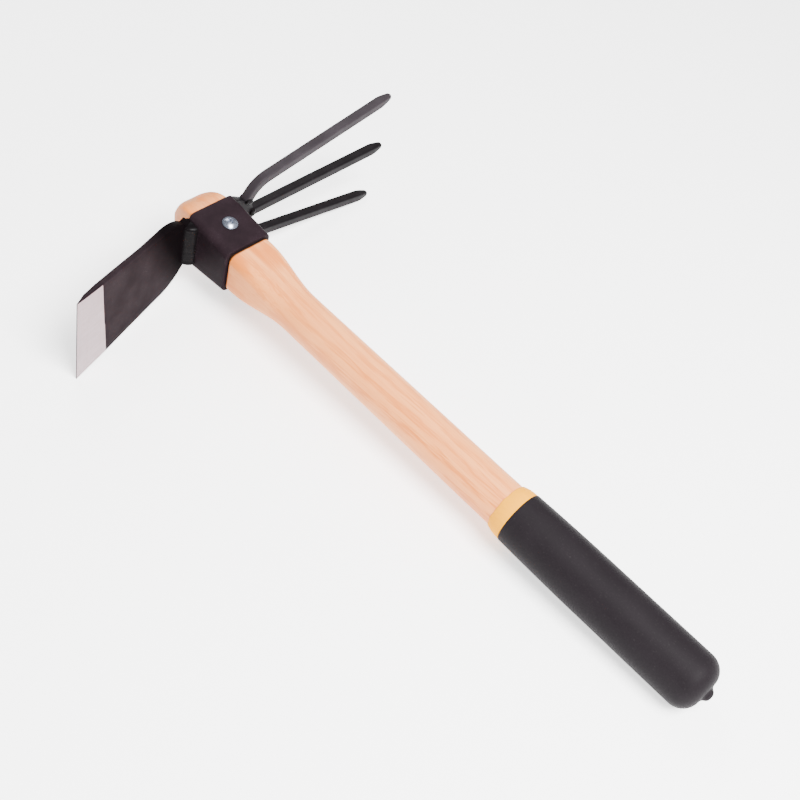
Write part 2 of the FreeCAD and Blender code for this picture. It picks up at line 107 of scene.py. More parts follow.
# Tines: the outer ones' foot, bend and tip are (x, z)
TINE_Y = 14.7
BAR = 5.6
POINT = 10.0
NOSE = 1.8
OUTER_FOOT = (25.6, 10.7)
OUTER_BEND = (31.8, 20.6)
OUTER_TIP = (136.7, 40.4)
OUTER_RADIUS = 18.0
MIDDLE_TIP_X = 139.4
PLATE_X = 13.8
PLATE_HALF = 2.2
# Welds: half lengths and legs
BLADE_WELD_HALF = 15.5
BLADE_WELD_LEG = 6.4
BACK_WELD_LEGS = (2.4, 2.3)
PLATE_WELD_HALF = 13.2
PLATE_WELD_LEG = 3.4
SEAM_HALF = 2.0
SEAM_RISE = 0.9
# Screw
HEAD_R = 4.5
HEAD_EDGE_R = 4.55
HEAD_RISE = 2.6
HEAD_DOME = 1.9
RECESS_HALF = 0.62
RECESS_DEEP = 1.25
SCREW_TURN = 0.35
SCREW_SHANK = ((4.4, 0.02), (2.2, 0.02), (2.15, -6.0), (1.6, -14.0), (0.2, -19.8))
# Grip and collar
COLLAR_Y = -221.0
MOUTH_Y = -229.6
BORE = 12.9
COLLAR_R = 13.55
COLLAR_LENGTH = 8.1
COLLAR_GROWTH = 1.4
COLLAR_SWELL = 0.42
MOUTH_R = 14.6
MOUTH_ROUND = 0.6
SWELL_END_Y = -285.0
GRIP_R = 15.9
GRIP_STRAIGHT = 59.0
GRIP_CORNER = 10.2
NUB = ((-354.35, 4.9), (-354.65, 4.2), (-355.1, 3.7), (-355.6, 3.4), (-356.1, 3.05), (-356.6, 2.5),
       (-357.0, 1.7), (-357.2, 0.8))


# ---------------------------------------------------------------- mesh helpers

def socket_depth(y):
    share = (y + HALF) / (2 * HALF)
    return SOCKET_D[0] + share * (SOCKET_D[1] - SOCKET_D[0])


def rounded_ring(width, depth, corner, count):
    """Points of a rounded rectangle, as (x, z), one for each of count directions from its middle."""
    hx, hz = width / 2, depth / 2
    corner = min(corner, hx - 1e-4, hz - 1e-4)
    cx, cz = hx - corner, hz - corner
    ring = []
    for k in range(count):
        t = 2 * math.pi * (k + 0.5) / count
        c, s = abs(math.cos(t)), abs(math.sin(t))
        if c * hz <= s * hx and hz * c / s <= cx:
            r = hz / s
        elif s * hx <= c * hz and hx * s / c <= cz:
            r = hx / c
        else:
            b = c * cx + s * cz
            r = b + math.sqrt(max(0.0, b * b - cx * cx - cz * cz + corner * corner))
        ring.append((r * math.cos(t), r * math.sin(t)))
    return ring


def loft(rings, close=False):
    """Vertices and faces through rings of equally many points; caps are fans round a middle point."""
    n = len(rings[0])
    verts = [p for ring in rings for p in ring]
    faces = []
    last = len(rings) if close else len(rings) - 1
    for i in range(last):
        a, b = i * n, ((i + 1) % len(rings)) * n
        for k in range(n):
            m = (k + 1) % n
            faces.append((a + k, a + m, b + m, b + k))
    if not close:
        for start, flip in ((0, True), ((len(rings) - 1) * n, False)):
            ring = verts[start:start + n]
            verts.append(tuple(sum(p[i] for p in ring) / n for i in range(3)))
            top = len(verts) - 1
            for k in range(n):
                m = (k + 1) % n
                faces.append((start + m, start + k, top) if flip else (start + k, start + m, top))
    return verts, faces


def piece(name, geometry, materials, nodes, sharp=38.0, pick=None):
    """A mesh object in the tool's frame, riding on the CAD body and standing for its CAD nodes."""
    verts, faces = geometry
    mesh = bpy.data.meshes.new(name)
    mesh.from_pydata([Vector(v) * MM for v in verts], [], faces)
    mesh.validate()
    for material in materials:
        mesh.materials.append(material)
    mesh.transform(PLACE)
    face_outwards(mesh)
    for poly in mesh.polygons:
        poly.use_smooth = True
        if pick:
            poly.material_index = pick(poly.center / MM, poly.normal)
    mesh.set_sharp_from_angle(angle=math.radians(sharp))
    obj = bpy.data.objects.new(name, mesh)
    bpy.context.scene.collection.objects.link(obj)
    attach(obj, "root")
    if nodes:
        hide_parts(*nodes)


def face_outwards(mesh):
    bm = bmesh.new()
    bm.from_mesh(mesh)
    bmesh.ops.recalc_face_normals(bm, faces=bm.faces)
    bm.to_mesh(mesh)
    bm.free()


def wobble(x, y, z, size):
    """Smooth noise between about -1 and 1, whose lumps are about size across."""
    return noise.noise(Vector((x, y, z)) / size)


def merge(*parts):
    """One geometry from several."""
    verts, faces = [], []
    for v, f in parts:
        base = len(verts)
        verts += v
        faces += [tuple(i + base for i in face) for face in f]
    return verts, faces


# ---------------------------------------------------------------- material helpers

class Nodes:
    """A short way to write a node tree. Texture coordinates are those of the tool's own frame, in metres."""

    def __init__(self, name):
        self.material = bpy.data.materials.new(name)
        self.material.use_nodes = True
        self.tree = self.material.node_tree
        self.shader = self.tree.nodes["Principled BSDF"]
        back = PLACE.inverted()
        self.coords = self.tree.nodes.new("ShaderNodeTexCoord").outputs["Object"]
        self.coords = self.mapped((1.0, 1.0, 1.0), back.translation, back.to_euler("XYZ"))

    def add(self, kind, **inputs):
        """_name sets a property, iN fills input N, and any other key fills the input of that name."""
        node = self.tree.nodes.new(kind)
        for key, value in inputs.items():
            if key.startswith("_"):
                setattr(node, key[1:], value)
        for key, value in inputs.items():
            if key.startswith("_"):
                continue
            key = int(key[1:]) if key[0] == "i" and key[1:].isdigit() else key.replace("__", " ")
            self.put(node.inputs[key], value)
        return node

    def put(self, socket, value):
        if isinstance(value, bpy.types.NodeSocket):
            self.tree.links.new(value, socket)
        else:
            socket.default_value = value

    def mapped(self, scale, shift=(0.0, 0.0, 0.0), turned=(0.0, 0.0, 0.0)):
        return self.add("ShaderNodeMapping", Vector=self.coords, Scale=scale, Location=shift,
                        Rotation=turned).outputs[0]

    def noise(self, vector, scale=1.0, detail=3.0, rough=0.5, distortion=0.0):
        return self.add("ShaderNodeTexNoise", Vector=vector, Scale=scale, Detail=detail, Roughness=rough,
                        Distortion=distortion).outputs["Fac"]

    def ramp(self, factor, stops):
        node = self.add("ShaderNodeValToRGB", Fac=factor)
        ramp = node.color_ramp
        while len(ramp.elements) < len(stops):
            ramp.elements.new(0.5)
        for element, (place, colour) in zip(ramp.elements, stops):
            element.position = place
            value = colour if isinstance(colour, tuple) else (colour,) * 3
            element.color = (*value, 1.0)
        return node.outputs[0]

    def math(self, kind, a, b=0.0):
        return self.add("ShaderNodeMath", _operation=kind, i0=a, i1=b).outputs[0]

    def between(self, value, low, high, to_low, to_high):
        return self.add("ShaderNodeMapRange", Value=value, i1=low, i2=high, i3=to_low,
                        i4=to_high).outputs[0]

    def mix(self, factor, a, b, kind="MIX"):
        node = self.tree.nodes.new("ShaderNodeMix")
        node.data_type = "RGBA"
        node.blend_type = kind
        self.put(node.inputs[0], factor)
        for socket, value in ((node.inputs[6], a), (node.inputs[7], b)):
            self.put(socket, value if isinstance(value, bpy.types.NodeSocket) else (*value, 1.0))
        return node.outputs[2]

    def bump(self, height, strength, distance):
        return self.add("ShaderNodeBump", Height=height, Strength=strength, Distance=distance).outputs[0]

    def finish(self, colour, rough, normal=None, metallic=0.0, coat=0.0, coat_rough=0.2, specular=0.5):
        base = (*colour, 1.0) if isinstance(colour, tuple) else colour
        self.put(self.shader.inputs["Base Color"], base)
        self.put(self.shader.inputs["Roughness"], rough)
        self.put(self.shader.inputs["Metallic"], metallic)
        self.shader.inputs["Specular IOR Level"].default_value = specular
        self.shader.inputs["Coat Weight"].default_value = coat
        self.shader.inputs["Coat Roughness"].default_value = coat_rough
        if normal:
            self.put(self.shader.inputs["Normal"], normal)
        return self.material


def wood_material():
    """Pale lacquered wood: growth layers cut at a low angle, fine fibres and a few short pores. It carries
    painted shade: a darker, warmer orange on the blade's side of the shoulder, darker towards the stub's end
    (end grain and painted shade), and almost black within the socket."""
    m = Nodes("wood_lacquered_painted_shade")
    bend = m.noise(m.mapped((22.0, 5.0, 22.0)), 1.0, 2.0)
    swayed = m.add("ShaderNodeVectorMath", _operation="MULTIPLY_ADD", i0=bend, i1=(0.018, 0.0, 0.014),
                   i2=m.coords).outputs[0]
    layers = m.add("ShaderNodeMapping", Vector=swayed, Scale=(1.0, 0.05, 1.0), Rotation=(0.0, 0.55, 0.0))
    rings = m.add("ShaderNodeTexWave", _wave_type="BANDS", _bands_direction="X", _wave_profile="SIN",
                  Vector=layers.outputs[0], Scale=44.0, Distortion=5.5, Detail=3.0, Detail__Scale=22.0,
                  Detail__Roughness=0.6).outputs["Fac"]
    fibres = m.noise(m.mapped((1500.0, 26.0, 1500.0)), 1.0, 4.0, 0.6)
    streaks = m.noise(m.mapped((260.0, 5.0, 260.0)), 1.0, 3.0, 0.55)
    broad = m.noise(m.mapped((34.0, 7.0, 34.0)), 1.0, 2.0)
    base = m.ramp(rings, [(0.0, (0.76, 0.300, 0.098)), (0.45, (0.74, 0.280, 0.086)),
                          (0.8, (0.66, 0.215, 0.052)), (1.0, (0.57, 0.162, 0.031))])
    base = m.mix(m.between(streaks, 0.40, 0.66, 0.0, 0.48), base, (0.62, 0.190, 0.042))
    base = m.mix(m.between(broad, 0.35, 0.7, 0.0, 0.45), base, (0.80, 0.345, 0.130))
    base = m.mix(m.between(fibres, 0.3, 0.75, 0.0, 0.25), base, (0.80, 0.50, 0.30), "MULTIPLY")
    # Zones along the handle, with painted shade: the stub beyond the socket, the wood within the socket, and
    # the flare
    across, along, _ = m.add("ShaderNodeSeparateXYZ", Vector=m.coords).outputs
    # Darker end grain and painted shade: the stub's dome is painted darker towards its end.
    end_grain_and_shade = m.between(along, 0.0178, 0.030, 0.15, 0.85)
    end_grain_and_shade = m.math("MULTIPLY", end_grain_and_shade, m.between(along, 0.0, 0.01, 0.0, 1.0))
    base = m.mix(end_grain_and_shade, base, (0.40, 0.140, 0.040))
    # Painted shade: the wood within the socket, seen in the gap at the socket's rims, is painted almost
    # black.
    painted_socket_shade = m.math("MULTIPLY", m.between(along, -0.0186, -0.0176, 0.0, 1.0),
                    m.between(along, 0.0176, 0.0186, 1.0, 0.0))
    near_flare = m.between(along, -0.085, -0.022, 0.0, 1.0)
    # Painted shade: the blade's side of the flare is painted a darker orange, where it turns away from the
    # light.
    painted_side_shade = m.math("MULTIPLY", m.between(across, -0.0125, -0.003, 0.60, 0.0), near_flare)
    base = m.mix(painted_side_shade, base, (0.64, 0.20, 0.036))
    flame = m.noise(m.mapped((95.0, 17.0, 95.0), (0.4, 0.2, 0.0)), 1.0, 2.0, 0.5, 0.6)
    flame = m.math("MULTIPLY", m.between(flame, 0.45, 0.57, 0.0, 1.0), near_flare)
    base = m.mix(m.math("MULTIPLY", flame, 0.80), base, (0.56, 0.145, 0.018))
    pores = m.noise(m.mapped((2600.0, 110.0, 2600.0)), 1.0, 1.0)
    pore = m.between(pores, 0.70, 0.78, 0.0, 0.35)
    base = m.mix(pore, base, (0.28, 0.11, 0.04))
    # Painted shade within the socket, almost black.
    base = m.mix(painted_socket_shade, base, (0.020, 0.008, 0.003))
    rough = m.between(fibres, 0.25, 0.75, 0.40, 0.56)
    height = m.math("ADD", m.math("MULTIPLY", fibres, 0.7), m.math("MULTIPLY", pore, -0.6))
    return m.finish(base, rough, m.bump(height, 0.18, 0.0002), coat=0.06, coat_rough=0.34, specular=0.16)


def coated_steel(name, tint, rough_low, rough_high, grain, specular, painted_weld_shade=0.0):
    """Thin black coating over steel: orange peel, dust-fine specks, rubbed patches, and when asked for,
    painted shade: a dark zone beside the blade's weld."""
    m = Nodes(name)
    peel = m.noise(m.mapped((900.0, 900.0, 900.0)), 1.0, 3.0, 0.6)
    patches = m.noise(m.mapped((70.0, 70.0, 70.0)), 1.0, 4.0, 0.6)
    specks = m.noise(m.mapped((2400.0, 2400.0, 2400.0)), 1.0, 1.0)
    worn = m.math("MULTIPLY", m.between(specks, 0.69, 0.76, 0.0, 1.0),
                  m.between(patches, 0.45, 0.65, 0.1, 0.8))
    light = tuple(1.6 * c for c in tint)
    base = m.mix(m.between(patches, 0.35, 0.7, 0.0, 0.7), tint, light)
    base = m.mix(m.math("MULTIPLY", worn, 0.5), base, (0.10, 0.09, 0.09))
    if painted_weld_shade:
        # Painted shade: a dark zone on the blade beside the weld, where the socket and weld shade it.
        place = m.add("ShaderNodeSeparateXYZ", Vector=m.coords).outputs
        slant = m.math("ADD", place[0], m.math("MULTIPLY", place[2], 0.45))
        slant = m.math("ADD", slant, m.math("MULTIPLY", patches, 0.006))
        base = m.mix(m.between(slant, -0.045, -0.027, 0.0, painted_weld_shade), base, (0.0016, 0.0011, 0.0013))
    rough = m.between(patches, 0.3, 0.7, rough_high, rough_low)
    return m.finish(base, rough, m.bump(peel, grain, 0.0002), specular=specular)


def ground_steel():
    """Bare steel from the grinding wheel: fine scratches across the edge and faint stains."""
    m = Nodes("steel_ground")
    lean = math.radians(BLADE_LEAN)
    across = m.mapped((3200.0, 3200.0, 60.0), turned=(0.0, 0.0, -lean))
    scratches = m.noise(m.mapped((90.0, 90.0, 4200.0)), 1.0, 3.0, 0.6)
    fine = m.noise(across, 1.0, 2.0)
    cloud = m.noise(m.mapped((120.0, 120.0, 120.0)), 1.0, 4.0, 0.6)
    base = m.ramp(scratches, [(0.25, (0.20, 0.148, 0.158)), (0.55, (0.29, 0.222, 0.235)),
                              (0.8, (0.38, 0.298, 0.312))])
    base = m.mix(m.between(cloud, 0.35, 0.7, 0.0, 0.35), base, (0.34, 0.25, 0.265))
    rough = m.between(fine, 0.3, 0.7, 0.42, 0.60)
    height = m.math("ADD", scratches, m.math("MULTIPLY", fine, 0.3))
    return m.finish(base, rough, m.bump(height, 0.20, 0.0001), metallic=0.55, specular=0.5)


def zinc_material():
    """Bright plate with a faint cloudiness."""
    m = Nodes("zinc_bright")
    cloud = m.noise(m.mapped((420.0, 420.0, 420.0)), 1.0, 3.0, 0.6)
    fine = m.noise(m.mapped((2600.0, 2600.0, 2600.0)), 1.0, 2.0)
    base = m.mix(m.between(cloud, 0.35, 0.7, 0.0, 1.0), (0.17, 0.19, 0.24), (0.32, 0.35, 0.44))
    rough = m.between(cloud, 0.3, 0.7, 0.20, 0.34)
    return m.finish(base, rough, m.bump(fine, 0.10, 0.0001), metallic=0.9)


def rubber_material(name, dark, light, rough_low, rough_high, grain, specular):
    """Moulded rubber: fine skin, broad slow changes and very faint dust."""
    m = Nodes(name)
    skin = m.noise(m.mapped((1500.0, 1500.0, 1500.0)), 1.0, 3.0, 0.65)
    broad = m.noise(m.mapped((55.0, 30.0, 55.0)), 1.0, 4.0, 0.6)
    dust = m.noise(m.mapped((3000.0, 900.0, 3000.0)), 1.0, 1.0)
    base = m.mix(m.between(broad, 0.3, 0.7, 0.0, 1.0), dark, light)
    base = m.mix(m.math("MULTIPLY", m.between(dust, 0.66, 0.80, 0.0, 1.0), 0.015), base, (0.7, 0.66, 0.62))
    rough = m.between(broad, 0.3, 0.7, rough_low, rough_high)
    return m.finish(base, rough, m.bump(skin, grain, 0.0002), specular=specular)


WOOD = wood_material()
SOCKET_STEEL = coated_steel("coat_socket", (0.0098, 0.0062, 0.0078), 0.34, 0.44, 0.10, specular=0.012)
# The blade's coat carries painted shade beside the weld.
BLADE_STEEL = coated_steel("coat_blade_painted_shade", (0.0108, 0.0074, 0.0087), 0.42, 0.54, 0.08, specular=0.004,
                           painted_weld_shade=0.92)
TINE_STEEL = coated_steel("coat_tine", (0.0046, 0.0038, 0.0044), 0.36, 0.48, 0.14, specular=0.04)
# Painted light: the upper tine gets a lighter copy of the tine coat because it catches more light.
LIT_UPPER_TINE_STEEL = coated_steel("coat_tine_upper_painted_light", (0.018, 0.0150, 0.0172), 0.34, 0.46, 0.14, specular=0.04)
WELD_STEEL = coated_steel("coat_weld", (0.0024, 0.0019, 0.0022), 0.24, 0.34, 0.06, specular=0.03)
GROUND = ground_steel()
ZINC = zinc_material()
YELLOW = rubber_material("rubber_yellow", (0.66, 0.265, 0.0), (0.76, 0.315, 0.0), 0.42, 0.56, 0.10, 0.02)
BLACK = rubber_material("rubber_black", (0.0076, 0.0061, 0.0072), (0.0100, 0.0081, 0.0095), 0.50, 0.62, 0.14,
                        0.04)


# ---------------------------------------------------------------- handle

def handle_geometry():
    """The turned handle as rounded rectangles from the stub's end to inside the grip."""
    count = 144
    dome_steps, dome_sweep = 30, 88.0
    lip_steps, flare_steps, shaft_steps = 8, 32, 80
    stations = []
    start = HALF + STUB_STRAIGHT
    width, depth = SOCKET_W - 2 * GAP, socket_depth(start) - 2 * GAP
    for k in range(dome_steps, -1, -1):
        angle = math.radians(dome_sweep * k / dome_steps)
        fall = 1 - math.cos(angle)
        stations.append((start + STUB_DOME * math.sin(angle), width - STUB_FALL_W * fall,
                         depth - STUB_FALL_D * fall, SOCKET_R - GAP + STUB_FALL_R * fall))
    for y in (10.0, 0.0, -10.0, -HALF):
        stations.append((y, width, socket_depth(y) - 2 * GAP, SOCKET_R - GAP))
    lip_d = socket_depth(-HALF) - 2 * GAP
    for k in range(1, lip_steps + 1):
        t = k / lip_steps
        swell = math.sqrt(1 - (1 - t) ** 2)
        stations.append((-HALF - 0.1 - LIP_LENGTH * t, width + (SHOULDER_W - width) * swell,
                         lip_d + (SHOULDER_D - lip_d) * swell, LIP_R + (SHOULDER_R - LIP_R) * swell))
    for k in range(flare_steps + 1):
        t = k / flare_steps
        ease = (1 - math.cos(math.pi * t)) / 2
        stations.append((FLARE_Y - FLARE_LENGTH * t, SHOULDER_W + ease * (2 * WAIST - SHOULDER_W),
                         SHOULDER_D + ease * (2 * WAIST - SHOULDER_D),
                         SHOULDER_R + ease * (WAIST - SHOULDER_R)))
    waist_y = FLARE_Y - FLARE_LENGTH
    for k in range(1, shaft_steps + 1):
        y = waist_y + (COLLAR_Y - 6.0 - waist_y) * k / shaft_steps
        radius = min(SHAFT, WAIST + (SHAFT - WAIST) * (waist_y - y) / (waist_y - COLLAR_Y))
        stations.append((y, 2 * radius, 2 * radius, radius))
    stations.append((SHAFT_END_Y, 2 * SHAFT, 2 * SHAFT, SHAFT))
    rings = []
    for y, w, d, corner in stations:
        ring = []
        for x, z in rounded_ring(w, d, corner, count):
            lift = 1.0 + 0.0035 * wobble(x * 0.35, y * 0.12, z * 0.35, 2.2)
            ring.append((x * lift, y, z * lift))
        rings.append(ring)
    return loft(rings)


piece("wooden_handle", handle_geometry(), [WOOD], ["handle"], 50.0)


# ---------------------------------------------------------------- socket

def quarter(k, steps=4):
    """Sine and cosine on the way through a quarter turn."""
    a = math.pi / 2 * k / steps
    return math.sin(a), math.cos(a)


def socket_geometry():
    """The bent strip as one ring of wall, with its rims rounded and very slightly dented by the press."""
    count = 192
    outer_steps, inner_steps = 24, 8
    flat = 2 * HALF - 2 * RIM
    path = [(-HALF + RIM + flat * k / outer_steps, 0.0) for k in range(outer_steps + 1)]
    for k in range(1, 5):
        sine, cosine = quarter(k)
        path.append((HALF - RIM + RIM * sine, RIM - RIM * cosine))
    for k in range(5):
        sine, cosine = quarter(k)
        path.append((HALF - RIM + RIM * cosine, WALL - RIM + RIM * sine))
    for k in range(1, inner_steps + 1):
        path.append((HALF - RIM - flat * k / inner_steps, WALL))
    for k in range(1, 5):
        sine, cosine = quarter(k)
        path.append((-HALF + RIM - RIM * sine, WALL - RIM + RIM * cosine))
    for k in range(4):
        sine, cosine = quarter(k)
        path.append((-HALF + RIM - RIM * cosine, RIM - RIM * sine))
    rings = []
    for y, inset in path:
        ring = []
        for x, z in rounded_ring(SOCKET_W - 2 * inset, socket_depth(y) - 2 * inset, SOCKET_R - inset, count):
            lift = 1.0 + (0.0022 * wobble(x, y, z, 9.0) if inset < 0.3 else 0.0)
            ring.append((x * lift, y, z * lift))
        rings.append(ring)
    return loft(rings, close=True)


piece("box_socket", socket_geometry(), [SOCKET_STEEL], ["head_socket"], 45.0)


# ---------------------------------------------------------------- weld beads

def bead(start, end, leg_a, leg_b, seed):
    """A laid bead in a corner: very faint scallops, a wandering toe and rounded ends."""
    crown, pitch, round_end = 0.60, 1.9, 2.6
    axis = Vector(end) - Vector(start)
    length = axis.length
    axis.normalize()
    leg_a, leg_b = Vector(leg_a), Vector(leg_b)
    rows = max(12, int(length / 0.25))
    arc = 14
    rings = []
    for i in range(rows + 1):
        t = length * i / rows
        from_end = min(t, length - t)
        size = math.sqrt(max(0.02, 1.0 - (1.0 - min(1.0, from_end / round_end)) ** 2))
        wave = 2 * math.pi * (t / pitch + 0.25 * wobble(t, seed, 0.0, 2.0))
        swell = 0.003 * math.cos(wave) + 0.02 * wobble(t, seed + 5.0, 0.0, 4.0)
        toe = size * (0.97 + 0.03 * wobble(t, seed + 9.0, 0.0, 3.0))
        ring = []
        for k in range(arc + 1):
            s = k / arc
            flat = leg_a * (1 - s) + leg_b * s
            bulge = (leg_a + leg_b) * ((crown - 0.5) * 4 * s * (1 - s) + swell * 2.4 * s * (1 - s))
            ring.append(tuple(Vector(start) + axis * t + (flat + bulge) * toe))
        ring.append(tuple(Vector(start) + axis * t))
        rings.append(ring)
    return loft(rings)


lean = math.radians(BLADE_LEAN)
blade_way = Vector((-math.cos(lean), -math.sin(lean), 0.0))
blade_back = Vector((-math.sin(lean), math.cos(lean), 0.0))
root = Vector((-SOCKET_W / 2, BLADE_ROOT_Y, 0.0))

def weld(name, corner, half, leg_a, leg_b, seed, node):
    """A bead along Z, through a corner point, that stands for a CAD weld."""
    reach = Vector((0, 0, half))
    piece(name, bead(corner - reach, corner + reach, leg_a, leg_b, seed), [WELD_STEEL], [node], 60.0)


weld("weld_blade_front", root, BLADE_WELD_HALF, (0.0, -BLADE_WELD_LEG, 0.0), blade_way * BLADE_WELD_LEG,
     1.0, "blade_weld_front")
rim_corner = Vector((-SOCKET_W / 2, HALF, 0.0))
weld("weld_blade_back", rim_corner, BLADE_WELD_HALF, (0.0, BACK_WELD_LEGS[0], 0.0),
     (BACK_WELD_LEGS[1], 0.0, 0.0), 3.0, "blade_weld_back")
plate_corner = Vector((SOCKET_W / 2, TINE_Y - PLATE_HALF, 0.0))
weld("weld_root_plate", plate_corner, PLATE_WELD_HALF, (0.0, -PLATE_WELD_LEG, 0.0),
     (PLATE_WELD_LEG, 0.0, 0.0), 6.0, "plate_weld")


def seam_geometry():
    """A low bead down the middle of the socket's back, where the strip closes."""
    rows, arc, margin, pitch = 120, 14, 0.4, 2.1
    rings = []
    for i in range(rows + 1):
        y = -HALF + margin + (2 * HALF - 2 * margin) * i / rows
        from_end = min(y + HALF, HALF - y)
        size = math.sqrt(1.0 - (1.0 - min(1.0, from_end / 1.5)) ** 2)
        wave = (y / pitch + 0.3 * wobble(y, 2.0, 0.0, 2.0)) % 1.0
        rise = SEAM_RISE * size * (0.75 + 0.25 * math.sqrt(1.0 - wave))
        half = size * (SEAM_HALF + 0.2 * wobble(y, 7.0, 0.0, 1.5))
        back = -socket_depth(y) / 2 + 0.02
        ring = [(half * math.cos(math.pi * k / arc), y, back - rise * math.sin(math.pi * k / arc))
                for k in range(arc + 1)]
        ring.append((0.0, y, back + 0.05))
        rings.append(ring)
    return loft(rings)


piece("weld_seam", seam_geometry(), [WELD_STEEL], ["socket_seam_weld"], 60.0)


# ---------------------------------------------------------------- blade

# Full width against the distance from the socket, and the depths of the front and back faces
OUTLINE = ((0.0, 31.0), (4.0, 31.0), (12.4, 43.0), (27.5, 50.0), (66.6, 55.2), (BLADE_L, 60.0))
FRONT = ((-6.0, 0.0), (BLADE_L - GRIND, 0.0), (BLADE_L, 0.5))
BACK = ((-6.0, 5.63), (42.0, BLADE_THICK), (BLADE_L - 20.0, BLADE_THICK), (BLADE_L - BACK_BEVEL, 2.9),
        (BLADE_L, 1.0))


def circle_through(a, b, c):
    """Centre and radius."""
    d = 2 * (a[0] * (b[1] - c[1]) + b[0] * (c[1] - a[1]) + c[0] * (a[1] - b[1]))
    sq = [p[0] ** 2 + p[1] ** 2 for p in (a, b, c)]
    ux = (sq[0] * (b[1] - c[1]) + sq[1] * (c[1] - a[1]) + sq[2] * (a[1] - b[1])) / d
    uy = (sq[0] * (c[0] - b[0]) + sq[1] * (a[0] - c[0]) + sq[2] * (b[0] - a[0])) / d
    return ux, uy, math.hypot(a[0] - ux, a[1] - uy)


def half_width(s):
    """Half the blade's width at a distance from the socket: straight neck, then two arcs."""
    points = [(x, w / 2) for x, w in OUTLINE]
    if s <= points[1][0]:
        return points[1][1]
    arc = points[1:4] if s <= points[3][0] else points[3:6]
    ux, uy, r = circle_through(*arc)
    under = math.sqrt(max(0.0, r * r - (s - ux) ** 2))
    return uy + under if arc[1][1] > uy else uy - under


def straight(x, table):
    """The value at x on the straight lines through a table's points."""
    for (x0, v0), (x1, v1) in zip(table, table[1:]):
        if x <= x1:
            return v0 + (v1 - v0) * (x - x0) / (x1 - x0)
    return table[-1][1]


def blade_geometry():
    """Rounded-edge plate from rings across its length, every ring square to the socket face at the root."""
    stations = [0.02 + 1.0 * k for k in range(28)] + [28.0 + 2.0 * k for k in range(24)]
    stations += [BLADE_L - GRIND - 0.15, BLADE_L - GRIND + 0.15]
    stations += [BLADE_L - GRIND + 1.0 * k for k in range(1, 22)] + [BLADE_L - 0.25, BLADE_L]
    stations = sorted(set(round(s, 3) for s in stations if s <= BLADE_L))
    rings = []
    for s in stations:
        half = half_width(s) - (0.12 if s == stations[-1] else 0.0)
        front, back = straight(s, FRONT), straight(s, BACK)
        r = min(0.45, 0.3 * (back - front))
        ring = []
        flat = 14
        for side, z_way in ((front, 1), (back, -1)):
            for k in range(flat + 1):
                z = z_way * (half - r) * (2 * k / flat - 1)
                ring.append((side, z))
            for k in range(1, 4):
                a = math.pi / 2 * k / 4
                inward = 1 if side == front else -1
                ring.append((side + inward * r * (1 - math.cos(a)), z_way * (half - r + r * math.sin(a))))
            middle = (front + back) / 2
            ring.append((middle, z_way * half))
            for k in range(1, 4):
                a = math.pi / 2 * k / 4
                other = back if side == front else front
                inward = -1 if side == front else 1
                ring.append((other + inward * r * (1 - math.sin(a)), z_way * (half - r + r * math.cos(a))))
        placed = []
        for depth, z in ring:
            dent = 0.05 * wobble(s, depth * 3.0, z, 14.0)
            p = root + blade_way * (s + grind_shift(s, z)) + blade_back * (depth + dent)
            p.z = z + 0.06 * wobble(s, 40.0, z, 11.0)
            if p.x > -SOCKET_W / 2:
                p.x = -SOCKET_W / 2
            placed.append(tuple(p))
        rings.append(placed)
    return loft(rings)


def grind_shift(s, z):
    """The front grinding line isn't quite parallel to the edge: it comes nearer to it on the screw side."""
    near_line = max(0.0, 1.0 - abs(s - (BLADE_L - GRIND)) / (GRIND - 1.0))
    return GRIND_SLANT * near_line * z


def blade_finish(centre, normal):
    """1, the bare steel, on both ground faces, and 0, the coat, elsewhere."""
    centre = (PLACE.inverted() @ (centre * MM)) / MM
    normal = turn.transposed() @ normal
    along = (centre - root).dot(blade_way)
    front_line, back_line = BLADE_L - GRIND, BLADE_L - BACK_BEVEL + 1.0
    if normal.dot(blade_back) < -0.9 and along > front_line + grind_shift(front_line, centre.z):
        return 1
    if normal.dot(blade_back) > 0.6 and along > back_line + grind_shift(back_line, centre.z):
        return 1
    return 0


piece("blade_plate", blade_geometry(), [BLADE_STEEL, GROUND], ["hoe_blade"], 30.0,
      blade_finish)


# ---------------------------------------------------------------- tines

# The last part of each tine has finer steps
FINE_LENGTH = 13.0
FINE_STEP = 0.35


def tine_geometry(points, turns, seed):
    """Square bar swept along points; its end is drawn out by hammer to a blunt round nose."""
    total = [0.0]
    for a, b in zip(points, points[1:]):
        total.append(total[-1] + (b - a).length)
    length = total[-1]
    rings = []
    for here, t, along in zip(points, total, turns):
        left = length - t
        side = along.cross(Vector((0.0, 1.0, 0.0))).normalized()
        share = min(1.0, left / POINT)
        size = BAR * (0.58 + 0.42 * math.sin(share * math.pi / 2))
        if left < NOSE:
            size *= math.sqrt(max(0.015, 1.0 - (1.0 - left / NOSE) ** 2))
        corner = size * (0.13 + 0.30 * (1.0 - share))
        ring = []
        for u, v in rounded_ring(size, size, corner, 48):
            hammer = 1.0 + (0.012 + 0.02 * (1.0 - share)) * wobble(t + seed, u, v, 3.2)
            ring.append(tuple(here + side * (u * hammer) + Vector((0.0, 1.0, 0.0)) * (v * hammer)))
        rings.append(ring)
    return loft(rings)


def run(start, end, step):
    """Points from start to end, both included, at least a step apart."""
    n = max(1, int((end - start).length / step))
    return [start + (end - start) * (k / n) for k in range(n + 1)]


def on_outer(place, sign):
    """A point of an outer tine's middle line, for the upper (1) or the lower (-1) tine."""
    return Vector((place[0], TINE_Y, place[1] * sign))


